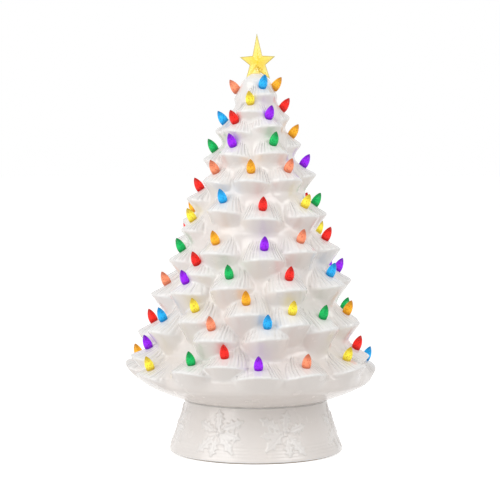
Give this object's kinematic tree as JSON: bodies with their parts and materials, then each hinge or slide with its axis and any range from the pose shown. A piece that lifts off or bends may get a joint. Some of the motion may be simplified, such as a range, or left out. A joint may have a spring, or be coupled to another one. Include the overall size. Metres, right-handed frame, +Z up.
{
  "type": "ceramic christmas tree",
  "caption": "Glazed ceramic tabletop tree with push-in coloured bulbs and a star, which lifts off a flared pedestal that holds its battery box, switch and light column.",
  "frame": {"origin": "centre of the felt base's underside, on the surface that the tree stands on, on the tree's axis", "axes": "+Z up along the tree's axis, -Y towards the front that the picture shows, +X to the right as seen from the front"},
  "size_m": [0.3645, 0.3722, 0.6061],
  "materials": {
    "glazed_ceramic": "glossy white glaze",
    "clear_yellow_plastic": "clear, polished",
    "silicone": "translucent, satin",
    "felt": "tan felt",
    "moulded_white_plastic": "fine moulded texture",
    "plated_steel": "nickel plated",
    "cell_jacket": "shrunk film",
    "circuit_board": "solder mask",
    "black_plastic": "fine moulded texture",
    "frosted_plastic": "frosted, translucent",
    "led_strip": "lit",
    "red_bulb": "clear, lit from inside",
    "blue_bulb": "clear, lit from inside",
    "green_bulb": "clear, lit from inside",
    "purple_bulb": "clear, lit from inside",
    "orange_bulb": "clear, lit from inside",
    "yellow_bulb": "clear, lit from inside",
    "salmon_bulb": "clear, lit from inside"
  },
  "bodies": {
    "base": {"pedestal": "glazed_ceramic", "seat_ring": "silicone", "felt_base": "felt", "bottom_plate": "moulded_white_plastic", "door_hinge_pin": "plated_steel", "aa_cell_1": "cell_jacket", "aa_cell_2": "cell_jacket", "aa_cell_3": "cell_jacket", "contact_pair_left": "plated_steel", "contact_pair_right": "plated_steel", "terminal_positive": "plated_steel", "terminal_negative": "plated_steel", "circuit_board": "circuit_board", "switch_housing": "black_plastic", "light_column": "frosted_plastic", "led_strip": "led_strip", "plate_screw_1": "plated_steel", "plate_screw_2": "plated_steel", "plate_screw_3": "plated_steel"},
    "tree": {"tree_body": "glazed_ceramic", "bulb_01_blue": "blue_bulb", "bulb_02_yellow": "yellow_bulb", "bulb_03_purple": "purple_bulb", "bulb_04_red": "red_bulb", "bulb_05_green": "green_bulb", "bulb_06_purple": "purple_bulb", "bulb_07_salmon": "salmon_bulb", "bulb_08_orange": "orange_bulb", "bulb_09_salmon": "salmon_bulb", "bulb_10_blue": "blue_bulb", "bulb_11_yellow": "yellow_bulb", "bulb_12_red": "red_bulb", "bulb_13_red": "red_bulb", "bulb_14_salmon": "salmon_bulb", "bulb_15_orange": "orange_bulb", "bulb_16_purple": "purple_bulb", "bulb_17_red": "red_bulb", "bulb_18_green": "green_bulb", "bulb_19_blue": "blue_bulb", "bulb_20_red": "red_bulb", "bulb_21_purple": "purple_bulb", "bulb_22_orange": "orange_bulb", "bulb_23_yellow": "yellow_bulb", "bulb_24_yellow": "yellow_bulb", "bulb_25_orange": "orange_bulb", "bulb_26_green": "green_bulb", "bulb_27_blue": "blue_bulb", "bulb_28_blue": "blue_bulb", "bulb_29_salmon": "salmon_bulb", "bulb_30_red": "red_bulb", "bulb_31_purple": "purple_bulb", "bulb_32_red": "red_bulb", "bulb_33_yellow": "yellow_bulb", "bulb_34_green": "green_bulb", "bulb_35_salmon": "salmon_bulb", "bulb_36_purple": "purple_bulb", "bulb_37_yellow": "yellow_bulb"},
    "star": {"star_topper": "clear_yellow_plastic"},
    "door": {"battery_door": "moulded_white_plastic"},
    "slider": {"switch_slider": "black_plastic"}
  },
  "joints": [
    {"name": "tree_lift", "type": "slide", "parent": "base", "child": "tree", "axis": [0, 0, 1], "range_m": [0, 0.26]},
    {"name": "star_lift", "type": "slide", "parent": "tree", "child": "star", "axis": [0, 0, 1], "range_m": [0, 0.03]},
    {"name": "battery_door_hinge", "type": "hinge", "parent": "base", "child": "door", "pos_m": [0, 0.0244, 0.0034], "axis": [-1, 0, 0], "range_deg": [0, 95]},
    {"name": "switch_slide", "type": "slide", "parent": "base", "child": "slider", "axis": [1, 0, 0], "range_m": [0, 0.006]}
  ]
}
